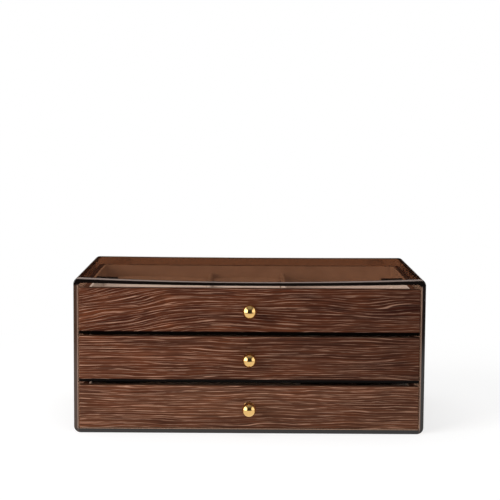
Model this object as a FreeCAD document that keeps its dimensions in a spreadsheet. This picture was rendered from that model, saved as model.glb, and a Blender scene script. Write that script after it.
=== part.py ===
"""A jewelry organizer: a smoked plastic case that holds three lined drawers with wood-grain fronts.

Millimetres, +Z up. The origin is the middle of the case's footprint, at the height that it stands on. The
drawer fronts face -Y, and the drawers slide out that way. Each drawer piece is drawn in its bay's own frame,
where Z is the height above the bay's floor, and its body's placement lifts it to that floor.
"""

import FreeCAD, Part
import math
import os
from collections import namedtuple
from enum import IntEnum

import Sketcher

FULL_TURN = 360
TOUCH = 1e-4


class Datum(IntEnum):
    """A sketch's own geometry: its level axis, which starts at the origin, and its upright axis."""

    ORIGIN = -1
    V_AXIS = -2


class Point(IntEnum):
    """Which point of a line or an arc a constraint holds."""

    START = 1
    END = 2
    CENTRE = 3


ORIGIN, V_AXIS = Datum.ORIGIN, Datum.V_AXIS
START, END, CENTRE = Point.START, Point.END, Point.CENTRE

# Driving sizes: alias, value, what it is
SIZES = (
    ("case_width", 240, "outside width of the case"),
    ("case_depth", 136, "front rim to back rim of the case"),
    ("side_wall", 3, "case side walls"),
    ("bottom_wall", 3, "case bottom"),
    ("top_wall", 3.8, "case top, at its two ends"),
    ("back_wall", 3, "back panel"),
    ("outer_radius", 4.6, "the case's four long outer edges"),
    ("inner_radius_top", 3, "upper inner corners of the case"),
    ("inner_radius_bottom", 1, "lower inner corners of the case"),
    ("top_bow_outer", 2.6, "how far the open front edge of the top dips, upper side"),
    ("top_bow_inner", 1.5, "how far it dips, lower side"),
    ("top_bow_back", 0.4, "how far the top dips where the back panel holds it"),
    ("rim_round", 0.8, "rounding of the case's outer rims"),
    ("glue_gap", 0.1, "glue line round panels and under lugs"),
    ("bottom_bay", 31.4, "clear height of the bottom bay"),
    ("middle_bay", 30.6, "clear height of the middle bay"),
    ("top_bay", 33.6, "clear height of the top bay, at its two ends"),
    ("shelf_thickness", 2.5, "shelves between the bays"),
    ("shelf_front_gap", 1, "drawer front's back face to shelf edge"),
    ("shelf_round", 0.5, "rounding of a shelf's front edge"),
    ("lug_length", 14.7, "drawer stop lug, across the case"),
    ("lug_depth", 2, "drawer stop lug, front to back"),
    ("lug_drop", 1.2, "how far a lug hangs below its ceiling"),
    ("lug_ramp", 0.7, "run of the lug's sloping front"),
    ("lug_inset", 19, "case side wall to the middle of a lug"),
    ("lug_setback", 13, "case front to the front of a lug"),
    ("front_thickness", 4, "drawer front"),
    ("front_recess", 0.4, "case front rim to drawer front face"),
    ("front_side_gap", 0.5, "drawer front to case side wall"),
    ("front_lift", 0.3, "bay floor to drawer front"),
    ("bottom_front_gap", 1, "bottom drawer front to its ceiling"),
    ("middle_front_gap", 0.2, "middle drawer front to its ceiling"),
    ("top_front_gap", 3.2, "top drawer front to its ceiling, at the ends"),
    ("front_corner", 1.2, "corner radius of a drawer front, seen from the front"),
    ("front_round", 0.9, "rounding of a drawer front's face edges"),
    ("box_side_gap", 1.5, "drawer box to case side wall"),
    ("box_rear_gap", 1, "drawer box to back panel"),
    ("slide_gap", 0.2, "running clearance under a drawer"),
    ("base_thickness", 2.5, "drawer base board"),
    ("board_thickness", 4, "drawer sides and rear wall"),
    ("side_drop", 2.1, "top of a drawer's sides, rear and lining below its front's top"),
    ("board_round", 0.6, "rounding of the sides' top edges"),
    ("tab_width", 14, "clear stop tab that stands in a notch of the rear wall"),
    ("tab_thickness", 3, "stop tab"),
    ("tab_depth", 8, "how deep a tab stands in the rear wall"),
    ("tab_gap", 0.35, "running clearance over a tab"),
    ("tab_round", 2.5, "rounding of a tab's top corners"),
    ("lining_thickness", 1.5, "velvet-covered card lining"),
    ("lining_corner", 2, "upright inner corners of the lining"),
    ("soft_gap", 0.2, "fit of soft pieces"),
    ("divider_thickness", 3, "velvet-covered divider"),
    ("divider_drop", 4.8, "divider top below the lining's top"),
    ("divider_round", 1.2, "rounding of a divider's top edges"),
    ("slot_gap", 0.4, "spare width in the crossing slots"),
    ("top_divider_left", 29.5, "case middle to the top drawer's left divider"),
    ("top_divider_right", 25.5, "case middle to the top drawer's right divider"),
    ("middle_divider_pitch", 56, "spacing of the middle drawer's cross dividers"),
    ("bottom_divider", 36, "case middle to the bottom drawer's divider"),
    ("insert_board", 4.6, "board under the ring rolls"),
    ("roll_radius", 6.3, "ring roll at its middle"),
    ("roll_end_radius", 5.3, "ring roll where its ends draw in"),
    ("roll_end_round", 1.6, "rounding of a roll's ends"),
    ("roll_sink", 0.8, "how far a roll is pressed into its board"),
    ("ring_slot", 0.6, "least gap between two rolls"),
    ("insert_gap", 0.4, "ring insert to lining and dividers"),
    ("ball_radius", 4.9, "knob ball"),
    ("ball_reach", 9, "knob seat to ball centre"),
    ("neck_radius", 2.2, "knob neck"),
    ("neck_start", 2.5, "knob seat to where the neck runs straight"),
    ("collar_radius", 3.9, "knob collar"),
    ("collar_thickness", 1.1, "knob collar"),
    ("screw_radius", 1.5, "knob screw shank"),
    ("screw_gap", 0.15, "clearance round the shank"),
    ("screw_bite", 6, "length of shank inside the knob"),
    ("bore_spare", 1, "knob bore beyond the shank's end"),
    ("head_radius", 3.2, "knob screw head"),
    ("head_height", 2, "knob screw head"),
    ("head_gap", 0.5, "clearance round and behind the head"),
)

# Places worked out from the driving sizes
INNER_HALF = "(Sizes.case_width / 2 - Sizes.side_wall)"
CASE_FRONT = "(-Sizes.case_depth / 2)"
CASE_BACK = "(Sizes.case_depth / 2)"
PANEL_FACE = f"({CASE_BACK} - Sizes.back_wall)"
FRONT_FACE = f"({CASE_FRONT} + Sizes.front_recess)"
FRONT_BACK = f"({FRONT_FACE} + Sizes.front_thickness)"
FRONT_HALF = f"({INNER_HALF} - Sizes.front_side_gap)"
SHELF_FRONT = f"({FRONT_BACK} + Sizes.shelf_front_gap)"
BOX_HALF = f"({INNER_HALF} - Sizes.box_side_gap)"
BOX_INNER_HALF = f"({BOX_HALF} - Sizes.board_thickness)"
REAR_BACK = f"({PANEL_FACE} - Sizes.box_rear_gap)"
REAR_FACE = f"({REAR_BACK} - Sizes.board_thickness)"
BASE_TOP = "(Sizes.slide_gap + Sizes.base_thickness)"
LINING_HALF = f"({BOX_INNER_HALF} - Sizes.soft_gap)"
LINING_FRONT = f"({FRONT_BACK} + Sizes.soft_gap)"
LINING_BACK = f"({REAR_FACE} - Sizes.soft_gap)"
LINING_FLOOR = f"({BASE_TOP} + Sizes.soft_gap + Sizes.lining_thickness)"
TRAY_HALF = f"({LINING_HALF} - Sizes.lining_thickness)"
TRAY_FRONT = f"({LINING_FRONT} + Sizes.lining_thickness)"
TRAY_BACK = f"({LINING_BACK} - Sizes.lining_thickness)"
LOW_CEILING = "(Sizes.bottom_wall + Sizes.bottom_bay)"
LOWER_SHELF = f"({LOW_CEILING} + Sizes.shelf_thickness)"
MIDDLE_CEILING = f"({LOWER_SHELF} + Sizes.middle_bay)"
UPPER_SHELF = f"({MIDDLE_CEILING} + Sizes.shelf_thickness)"
TOP_CEILING = f"({UPPER_SHELF} + Sizes.top_bay)"
CASE_TOP = f"({TOP_CEILING} + Sizes.top_wall)"
LUG_MIDDLE = f"({INNER_HALF} - Sizes.lug_inset)"
LUG_FRONT = f"({CASE_FRONT} + Sizes.lug_setback)"

# The top's lower side dips between its rounded ends, most at the front: its dip in line with the lugs
BOW_HALF = f"({INNER_HALF} - Sizes.inner_radius_top)"
BOW_LOSS = "(Sizes.top_bow_inner - Sizes.top_bow_back)"
BOW_AT_LUG = f"(Sizes.top_bow_inner - {BOW_LOSS} * Sizes.lug_setback / Sizes.case_depth)"


def dip(across):
    """How far the top's lower side lies below its ends, in line with the lugs and off the case's middle."""
    return f"({BOW_AT_LUG} * (1 - ({across})^2 / {BOW_HALF}^2))"


LUG_SLOPE = f"atan(2 * {BOW_AT_LUG} * {LUG_MIDDLE} / {BOW_HALF}^2)"

# A bay's floor and clear height, its drawer front's top gap, and its ceiling's dip over a tab and over a lug
Bay = namedtuple("Bay", "name floor height front_gap tab_dip lug_dip lug_slope")
BAYS = (
    Bay("bottom", "Sizes.bottom_wall", "Sizes.bottom_bay", "Sizes.bottom_front_gap", "0", "0", "0"),
    Bay("middle", LOWER_SHELF, "Sizes.middle_bay", "Sizes.middle_front_gap", "0", "0", "0"),
    Bay(
        "top",
        UPPER_SHELF,
        "Sizes.top_bay",
        "Sizes.top_front_gap",
        dip(f"{LUG_MIDDLE} - Sizes.tab_width / 2"),
        dip(LUG_MIDDLE),
        LUG_SLOPE,
    ),
)
BOTTOM, MIDDLE, TOP = BAYS


def side_top(bay):
    """Top of a drawer's sides, rear wall and lining, above the bay's floor."""
    return f"({bay.height} - {bay.front_gap} - Sizes.side_drop)"


def tab_seat(bay):
    """Bottom of the notches that hold a drawer's stop tabs, above the bay's floor."""
    return f"({side_top(bay)} - Sizes.tab_depth)"


def divider_top(bay):
    """Top of a drawer's dividers, above the bay's floor."""
    return f"({side_top(bay)} - Sizes.divider_drop)"


doc = FreeCAD.newDocument("JewelryOrganizer")
sheet = doc.addObject("Spreadsheet::Sheet", "Sizes")
bodies = []


def fill_sheet():
    """Writes the driving sizes, one row each, and gives each value its alias."""
    for row, (alias, value, meaning) in enumerate(SIZES, start=1):
        sheet.set(f"A{row}", alias)
        sheet.set(f"B{row}", str(value))
        sheet.set(f"C{row}", meaning)
        sheet.setAlias(f"B{row}", alias)
    doc.recompute()


def number(expression):
    """The present value of an expression of sheet sizes."""
    value = sheet.evalExpression(expression)
    return float(getattr(value, "Value", value))


def new_body(label, across="0", along="0", up="0"):
    """A sub-part's body, placed by three expressions."""
    body = doc.addObject("PartDesign::Body", label)
    body.Label = label
    for axis, expression in zip("xyz", (across, along, up)):
        body.setExpression(f"Placement.Base.{axis}", expression)
    bodies.append(body)
    return body


def origin_feature(body, role):
    """One of the body's own origin planes or axes, such as XY_Plane."""
    return next(item for item in body.Origin.OriginFeatures if item.Role == role)


def new_sketch(body, name, role, offset="0"):
    """A sketch on an origin plane of the body, moved along the plane's normal."""
    sketch = body.newObject("Sketcher::SketchObject", name)
    sketch.AttachmentSupport = [(origin_feature(body, role), "")]
    sketch.MapMode = "FlatFace"
    sketch.setExpression("AttachmentOffset.Base.z", offset)
    return sketch


def bind(sketch, kind, *items_and_expression):
    """A dimension of the sketch whose value follows an expression."""
    *items, expression = items_and_expression
    index = sketch.addConstraint(Sketcher.Constraint(kind, *items, number(expression)))
    name = f"size{index}"
    sketch.renameConstraint(index, name)
    sketch.setExpression(f"Constraints.{name}", expression)


def vector(across, up):
    """A point of a sketch from two numbers."""
    return FreeCAD.Vector(across, up, 0)


def rectangle(sketch, left, right, low, high):
    """A rectangle between two pairs of expressions."""
    x0, x1, y0, y1 = (number(edge) for edge in (left, right, low, high))
    corners = [vector(x0, y0), vector(x1, y0), vector(x1, y1), vector(x0, y1)]
    for index, corner in enumerate(corners):
        sketch.addGeometry(Part.LineSegment(corner, corners[(index + 1) % len(corners)]), False)
    for index in range(len(corners)):
        following = (index + 1) % len(corners)
        sketch.addConstraint(Sketcher.Constraint("Coincident", index, END, following, START))
    for index in (0, 2):
        sketch.addConstraint(Sketcher.Constraint("Horizontal", index))
        sketch.addConstraint(Sketcher.Constraint("Vertical", index + 1))
    bind(sketch, "DistanceX", ORIGIN, START, 0, START, left)
    bind(sketch, "DistanceX", ORIGIN, START, 1, START, right)
    bind(sketch, "DistanceY", ORIGIN, START, 0, START, low)
    bind(sketch, "DistanceY", ORIGIN, START, 2, START, high)


def circle(sketch, up, radius):
    """A circle above the sketch's origin."""
    disc = Part.Circle(vector(0, number(up)), FreeCAD.Vector(0, 0, 1), number(radius))
    index = sketch.addGeometry(disc, False)
    sketch.addConstraint(Sketcher.Constraint("PointOnObject", index, CENTRE, V_AXIS))
    bind(sketch, "DistanceY", ORIGIN, START, index, CENTRE, up)
    bind(sketch, "Radius", index, radius)


def arc_centre(start, end, radius):
    """Centre of the counterclockwise arc of under a half circle from start to end."""
    chord = end - start
    rise = math.sqrt(radius**2 - (chord.Length / 2) ** 2)
    normal = vector(-chord.y, chord.x).normalize()
    return start + chord * 0.5 + normal * rise


def outline(sketch, corners, arcs):
    """A closed outline through corners given as pairs of expressions, counterclockwise.

    arcs gives a radius for each edge that bulges outwards, by the number of the corner that it leaves.
    """
    points = [vector(number(across), number(up)) for across, up in corners]
    for index, start in enumerate(points):
        end = points[(index + 1) % len(points)]
        if index in arcs:
            radius = number(arcs[index])
            centre = arc_centre(start, end, radius)
            first, last = (math.atan2(p.y - centre.y, p.x - centre.x) for p in (start, end))
            if last < first:
                last += 2 * math.pi
            disc = Part.Circle(centre, FreeCAD.Vector(0, 0, 1), radius)
            sketch.addGeometry(Part.ArcOfCircle(disc, first, last), False)
        else:
            sketch.addGeometry(Part.LineSegment(start, end), False)
    for index in range(len(points)):
        sketch.addConstraint(Sketcher.Constraint("Coincident", index, END, (index + 1) % len(points), START))
    for index, (across, up) in enumerate(corners):
        bind(sketch, "DistanceX", ORIGIN, START, index, START, across)
        bind(sketch, "DistanceY", ORIGIN, START, index, START, up)
    for index, radius in arcs.items():
        bind(sketch, "Radius", index, radius)


def case_outline(sketch, half, low, high, low_radius, high_radius, bow):
    """The case's rounded section, whose top edge dips by bow between its two rounded ends."""
    x, y0, y1 = number(half), number(low), number(high)
    r0, r1, sag = number(low_radius), number(high_radius), number(bow)
    span = x - r1
    bow_radius = (span**2 + sag**2) / (2 * sag)
    tilt = math.asin(span / bow_radius)
    right, up, left, down = 0, math.pi / 2, math.pi, 3 * math.pi / 2
    turn = 2 * math.pi

    def arc(across, height, radius, first, last):
        disc = Part.Circle(vector(across, height), FreeCAD.Vector(0, 0, 1), radius)
        return Part.ArcOfCircle(disc, first, last)

    shapes = (
        Part.LineSegment(vector(r0 - x, y0), vector(x - r0, y0)),
        arc(x - r0, y0 + r0, r0, down, turn),
        Part.LineSegment(vector(x, y0 + r0), vector(x, y1 - r1)),
        arc(x - r1, y1 - r1, r1, right, up + tilt),
        arc(0, y1 - sag + bow_radius, bow_radius, down - tilt, down + tilt),
        arc(r1 - x, y1 - r1, r1, up - tilt, left),
        Part.LineSegment(vector(-x, y1 - r1), vector(-x, y0 + r0)),
        arc(r0 - x, y0 + r0, r0, left, down),
    )
    for shape in shapes:
        sketch.addGeometry(shape, False)
    bottom, low_right, right_side, high_right, top, high_left, left_side, low_left = range(len(shapes))
    joints = (
        (bottom, END, low_right, START),
        (low_right, END, right_side, START),
        (right_side, END, high_right, START),
        (high_right, END, top, END),
        (top, START, high_left, START),
        (high_left, END, left_side, START),
        (left_side, END, low_left, START),
        (low_left, END, bottom, START),
    )
    for joint in joints:
        sketch.addConstraint(Sketcher.Constraint("Tangent", *joint))
    sketch.addConstraint(Sketcher.Constraint("Horizontal", bottom))
    sketch.addConstraint(Sketcher.Constraint("Vertical", right_side))
    sketch.addConstraint(Sketcher.Constraint("Vertical", left_side))
    sketch.addConstraint(Sketcher.Constraint("Equal", low_right, low_left))
    sketch.addConstraint(Sketcher.Constraint("Equal", high_right, high_left))
    sketch.addConstraint(Sketcher.Constraint("PointOnObject", top, CENTRE, V_AXIS))
    bind(sketch, "Radius", low_right, low_radius)
    bind(sketch, "Radius", high_right, high_radius)
    bind(sketch, "Radius", top, f"(({half} - {high_radius})^2 + {bow}^2) / (2 * {bow})")
    bind(sketch, "DistanceX", ORIGIN, START, right_side, START, half)
    bind(sketch, "DistanceX", ORIGIN, START, left_side, START, f"-{half}")
    bind(sketch, "DistanceY", ORIGIN, START, bottom, START, low)
    bind(sketch, "DistanceY", ORIGIN, START, high_right, END, high)


def feature(body, kind, name, sketch, length=None, backwards=False, both_ways=False):
    """A Pad or Pocket of the sketch, along the sketch plane's normal unless it runs backwards."""
    item = body.newObject(f"PartDesign::{kind}", name)
    item.Profile = sketch
    item.Reversed = backwards
    item.Midplane = both_ways
    item.setExpression("Length", length)
    sketch.Visibility = False
    return item


def revolve(body, name, sketch):
    """The sketch turned fully about its own horizontal axis."""
    item = body.newObject("PartDesign::Revolution", name)
    item.Profile = sketch
    item.ReferenceAxis = (sketch, ["H_Axis"])
    item.Angle = FULL_TURN
    return item


def loft(body, kind, name, first, second):
    """An AdditiveLoft or SubtractiveLoft with straight sides between two sketches."""
    item = body.newObject(f"PartDesign::{kind}", name)
    item.Profile = first
    item.Sections = [(second, [""])]
    item.Ruled = True
    return item


def round_edges(body, name, radius, wanted):
    """A fillet on each edge of the body's last feature for which wanted says yes."""
    doc.recompute()
    base = body.Tip
    names = [f"Edge{index}" for index, edge in enumerate(base.Shape.Edges, start=1) if wanted(edge)]
    if not names:
        raise RuntimeError(f"{body.Label}: {name} found no edge")
    item = body.newObject("PartDesign::Fillet", name)
    item.Base = (base, names)
    item.setExpression("Radius", radius)


def lies_at(edge, axis, value):
    """Whether the whole edge lies at one value of x, y or z."""
    low = getattr(edge.BoundBox, f"{axis}Min")
    high = getattr(edge.BoundBox, f"{axis}Max")
    return abs(low - value) < TOUCH and abs(high - value) < TOUCH


def runs_along(edge, axis):
    """Whether the edge is straight and parallel to an axis."""
    others = [name for name in "XYZ" if name != axis]
    return all(getattr(edge.BoundBox, f"{name}Length") < TOUCH for name in others)


def round_top(body, name, radius, height, axis):
    """A fillet on the edges that lie at one height and run along an axis."""
    level = number(height)
    round_edges(body, name, radius, lambda edge: lies_at(edge, "Z", level) and runs_along(edge, axis))


def board(label, across, along, height, up="0"):
    """A flat board between three pairs of expressions: left and right, front and back, low and high."""
    body = new_body(label, up=up)
    sketch = new_sketch(body, f"{label}_outline", "XY_Plane", height[0])
    rectangle(sketch, *across, *along)
    feature(body, "Pad", f"{label}_board", sketch, f"{height[1]} - {height[0]}")
    return body


def make_case():
    """The sleeve that is the case's top, sides and bottom, its back panel and its two shelves."""
    body = new_body("case_sleeve")
    rims = (
        ("front", CASE_FRONT, "Sizes.top_bow_outer", "Sizes.top_bow_inner"),
        ("back", CASE_BACK, "Sizes.top_bow_back", "Sizes.top_bow_back"),
    )
    outer = []
    inner = []
    for name, place, outer_bow, inner_bow in rims:
        outside = new_sketch(body, f"outside_{name}", "XZ_Plane", f"-{place}")
        case_outline(
            outside,
            "(Sizes.case_width / 2)",
            "0",
            CASE_TOP,
            "Sizes.outer_radius",
            "Sizes.outer_radius",
            outer_bow,
        )
        outer.append(outside)
        inside = new_sketch(body, f"inside_{name}", "XZ_Plane", f"-{place}")
        case_outline(
            inside,
            INNER_HALF,
            "Sizes.bottom_wall",
            TOP_CEILING,
            "Sizes.inner_radius_bottom",
            "Sizes.inner_radius_top",
            inner_bow,
        )
        inner.append(inside)
    doc.recompute()
    loft(body, "AdditiveLoft", "sleeve_outside", *outer)
    doc.recompute()
    loft(body, "SubtractiveLoft", "sleeve_inside", *inner)
    front, back = number(CASE_FRONT), number(CASE_BACK)
    inner_half, floor, ceiling = number(INNER_HALF), number("Sizes.bottom_wall"), number(TOP_CEILING)

    def on_outer_rim(edge):
        at_rim = lies_at(edge, "Y", front) or lies_at(edge, "Y", back)
        box = edge.BoundBox
        inside = abs(box.Center.x) < inner_half + TOUCH and floor - TOUCH < box.Center.z < ceiling + TOUCH
        return at_rim and not inside

    round_edges(body, "sleeve_rims", "Sizes.rim_round", on_outer_rim)

    body = new_body("back_panel")
    sketch = new_sketch(body, "back_panel_outline", "XZ_Plane", f"-{PANEL_FACE}")
    case_outline(
        sketch,
        f"({INNER_HALF} - Sizes.glue_gap)",
        "(Sizes.bottom_wall + Sizes.glue_gap)",
        f"({TOP_CEILING} - Sizes.glue_gap)",
        "Sizes.inner_radius_bottom",
        "Sizes.inner_radius_top",
        "Sizes.top_bow_back",
    )
    feature(body, "Pad", "back_panel_sheet", sketch, "Sizes.back_wall", backwards=True)

    shelf_half = f"({INNER_HALF} - Sizes.glue_gap)"
    across, along = (f"-{shelf_half}", shelf_half), (SHELF_FRONT, PANEL_FACE)
    shelf_front = number(SHELF_FRONT)

    def on_shelf_front(edge):
        return lies_at(edge, "Y", shelf_front) and runs_along(edge, "X")

    for name, level in (("lower_shelf", LOWER_SHELF), ("upper_shelf", UPPER_SHELF)):
        body = board(name, across, along, ("-Sizes.shelf_thickness", "0"), level)
        round_edges(body, f"{name}_edge", "Sizes.shelf_round", on_shelf_front)


def make_lugs(bay):
    """The two lugs under a bay's ceiling that stop its drawer, with a sloping front and a square back."""
    for side, sign in (("left", "-"), ("right", "")):
        name = f"{bay.name}_stop_lug_{side}"
        level = f"{bay.floor} + {bay.height} - {bay.lug_dip}"
        body = new_body(name, f"{sign}{LUG_MIDDLE}", LUG_FRONT, level)
        body.Placement.Rotation = FreeCAD.Rotation(FreeCAD.Vector(0, 1, 0), 0)
        body.setExpression("Placement.Rotation.Angle", f"{'' if side == 'left' else '-'}({bay.lug_slope})")
        sketch = new_sketch(body, f"{name}_section", "YZ_Plane")
        corners = (
            ("Sizes.lug_ramp", "-Sizes.glue_gap - Sizes.lug_drop"),
            ("Sizes.lug_depth", "-Sizes.glue_gap - Sizes.lug_drop"),
            ("Sizes.lug_depth", "-Sizes.glue_gap"),
            ("0", "-Sizes.glue_gap"),
        )
        outline(sketch, corners, {})
        feature(body, "Pad", f"{name}_bar", sketch, "Sizes.lug_length", both_ways=True)


def make_front(bay):
    """The drawer's front, drilled for the knob screw and recessed at the back for the screw's head."""
    name = f"{bay.name}_drawer_front"
    height = f"({bay.height} - Sizes.front_lift - {bay.front_gap})"
    body = new_body(name, along=FRONT_FACE, up=f"{bay.floor} + Sizes.front_lift")
    sketch = new_sketch(body, f"{name}_outline", "XZ_Plane")
    rectangle(sketch, f"-{FRONT_HALF}", FRONT_HALF, "0", height)
    feature(body, "Pad", f"{name}_board", sketch, "Sizes.front_thickness", backwards=True)
    round_edges(body, f"{name}_corners", "Sizes.front_corner", lambda edge: runs_along(edge, "Y"))
    round_edges(body, f"{name}_face", "Sizes.front_round", lambda edge: lies_at(edge, "Y", 0))
    hole = new_sketch(body, f"{name}_hole", "XZ_Plane")
    circle(hole, f"{height} / 2", "Sizes.screw_radius + Sizes.screw_gap")
    feature(body, "Pocket", f"{name}_bore", hole, "Sizes.front_thickness")
    recess = new_sketch(body, f"{name}_recess", "XZ_Plane", "-Sizes.front_thickness")
    circle(recess, f"{height} / 2", "Sizes.head_radius + Sizes.head_gap")
    depth = "Sizes.head_height + Sizes.head_gap"
    feature(body, "Pocket", f"{name}_counterbore", recess, depth, backwards=True)


def make_box(bay):
    """The drawer's base, its two sides and its rear wall, notched for two stop tabs."""
    prefix = f"{bay.name}_drawer"
    top, seat = side_top(bay), tab_seat(bay)
    across, along = (f"-{BOX_HALF}", BOX_HALF), (FRONT_BACK, REAR_BACK)
    board(f"{prefix}_base", across, along, ("Sizes.slide_gap", BASE_TOP), bay.floor)
    sides = (
        ("left", (f"-{BOX_HALF}", f"-{BOX_INNER_HALF}")),
        ("right", (BOX_INNER_HALF, BOX_HALF)),
    )
    for side, across in sides:
        name = f"{prefix}_side_{side}"
        body = board(name, across, (FRONT_BACK, REAR_FACE), (BASE_TOP, top), bay.floor)
        round_top(body, f"{name}_top", "Sizes.board_round", top, "Y")

    name = f"{prefix}_rear"
    notch_inner = f"({LUG_MIDDLE} - Sizes.tab_width / 2 - Sizes.glue_gap)"
    notch_outer = f"({LUG_MIDDLE} + Sizes.tab_width / 2 + Sizes.glue_gap)"
    body = new_body(name, along=REAR_BACK, up=bay.floor)
    sketch = new_sketch(body, f"{name}_outline", "XZ_Plane")
    corners = (
        (f"-{BOX_HALF}", BASE_TOP),
        (BOX_HALF, BASE_TOP),
        (BOX_HALF, top),
        (notch_outer, top),
        (notch_outer, seat),
        (notch_inner, seat),
        (notch_inner, top),
        (f"-{notch_inner}", top),
        (f"-{notch_inner}", seat),
        (f"-{notch_outer}", seat),
        (f"-{notch_outer}", top),
        (f"-{BOX_HALF}", top),
    )
    outline(sketch, corners, {})
    feature(body, "Pad", f"{name}_board", sketch, "Sizes.board_thickness")


def make_tabs(bay):
    """The two clear tabs glued into the rear wall's notches, which stop the drawer at the bay's lugs."""
    top = f"({bay.height} - {bay.tab_dip} - Sizes.tab_gap)"
    peak = number(top)
    for side, sign in (("left", "-"), ("right", "")):
        name = f"{bay.name}_drawer_stop_tab_{side}"
        body = new_body(name, f"{sign}{LUG_MIDDLE}", f"{REAR_FACE} + Sizes.tab_thickness", bay.floor)
        sketch = new_sketch(body, f"{name}_outline", "XZ_Plane")
        foot = f"{tab_seat(bay)} + Sizes.glue_gap"
        rectangle(sketch, "-Sizes.tab_width / 2", "Sizes.tab_width / 2", foot, top)
        feature(body, "Pad", f"{name}_sheet", sketch, "Sizes.tab_thickness")
        round_edges(
            body,
            f"{name}_corners",
            "Sizes.tab_round",
            lambda edge: runs_along(edge, "Y") and lies_at(edge, "Z", peak),
        )


def make_lining(bay):
    """The open tray of velvet-covered card that lines a drawer."""
    name = f"{bay.name}_drawer_lining"
    across, along = (f"-{LINING_HALF}", LINING_HALF), (LINING_FRONT, LINING_BACK)
    top = side_top(bay)
    body = board(name, across, along, (f"({BASE_TOP} + Sizes.soft_gap)", top), bay.floor)
    sketch = new_sketch(body, f"{name}_hollow", "XY_Plane", top)
    rectangle(sketch, f"-{TRAY_HALF}", TRAY_HALF, TRAY_FRONT, TRAY_BACK)
    feature(body, "Pocket", f"{name}_inside", sketch, f"{top} - {LINING_FLOOR}")
    half, front, back = number(TRAY_HALF), number(TRAY_FRONT), number(TRAY_BACK)

    def inner_corner(edge):
        box = edge.BoundBox
        at_side = abs(abs(box.Center.x) - half) < TOUCH
        at_end = abs(box.Center.y - front) < TOUCH or abs(box.Center.y - back) < TOUCH
        return runs_along(edge, "Z") and at_side and at_end

    round_edges(body, f"{name}_corners", "Sizes.lining_corner", inner_corner)


def divider(name, bay, across):
    """A velvet-covered board that runs front to back in the lining, centred on an expression."""
    edges = (f"{across} - Sizes.divider_thickness / 2", f"{across} + Sizes.divider_thickness / 2")
    ends = (f"({TRAY_FRONT} + Sizes.soft_gap)", f"({TRAY_BACK} - Sizes.soft_gap)")
    heights = (f"({LINING_FLOOR} + Sizes.soft_gap)", divider_top(bay))
    body = board(name, edges, ends, heights, bay.floor)
    round_top(body, f"{name}_top", "Sizes.divider_round", heights[1], "Y")
    return body


def cut_slot(body, across, along, height):
    """An upright slot through the body between three pairs of expressions."""
    sketch = new_sketch(body, f"{body.Label}_slot_{len(body.Group)}", "XY_Plane", height[1])
    rectangle(sketch, *across, *along)
    feature(body, "Pocket", f"{sketch.Label}_cut", sketch, f"{height[1]} - {height[0]}")


def make_middle_dividers():
    """The middle drawer's three cross dividers and the long divider that they cross at half height."""
    low = f"({LINING_FLOOR} + Sizes.soft_gap)"
    high = divider_top(MIDDLE)
    half_way = f"(({low} + {high}) / 2)"
    crossing = f"(({TRAY_FRONT} + {TRAY_BACK}) / 2)"
    slot_half = "(Sizes.divider_thickness / 2 + Sizes.slot_gap / 2)"
    places = (
        ("left", "(-Sizes.middle_divider_pitch)"),
        ("centre", "0"),
        ("right", "Sizes.middle_divider_pitch"),
    )
    for name, across in places:
        body = divider(f"middle_drawer_divider_{name}", MIDDLE, across)
        slot = (f"{crossing} - {slot_half}", f"{crossing} + {slot_half}")
        width = (f"{across} - Sizes.divider_thickness", f"{across} + Sizes.divider_thickness")
        cut_slot(body, width, slot, (low, half_way))

    reach = f"({TRAY_HALF} - Sizes.soft_gap)"
    faces = (f"{crossing} - Sizes.divider_thickness / 2", f"{crossing} + Sizes.divider_thickness / 2")
    body = board("middle_drawer_long_divider", (f"-{reach}", reach), faces, (low, high), MIDDLE.floor)
    round_top(body, "long_divider_top", "Sizes.divider_round", high, "X")
    for name, across in places:
        width = (f"{across} - {slot_half}", f"{across} + {slot_half}")
        depth = (f"{crossing} - Sizes.divider_thickness", f"{crossing} + Sizes.divider_thickness")
        cut_slot(body, width, depth, (f"({half_way} - Sizes.soft_gap)", high))


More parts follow.
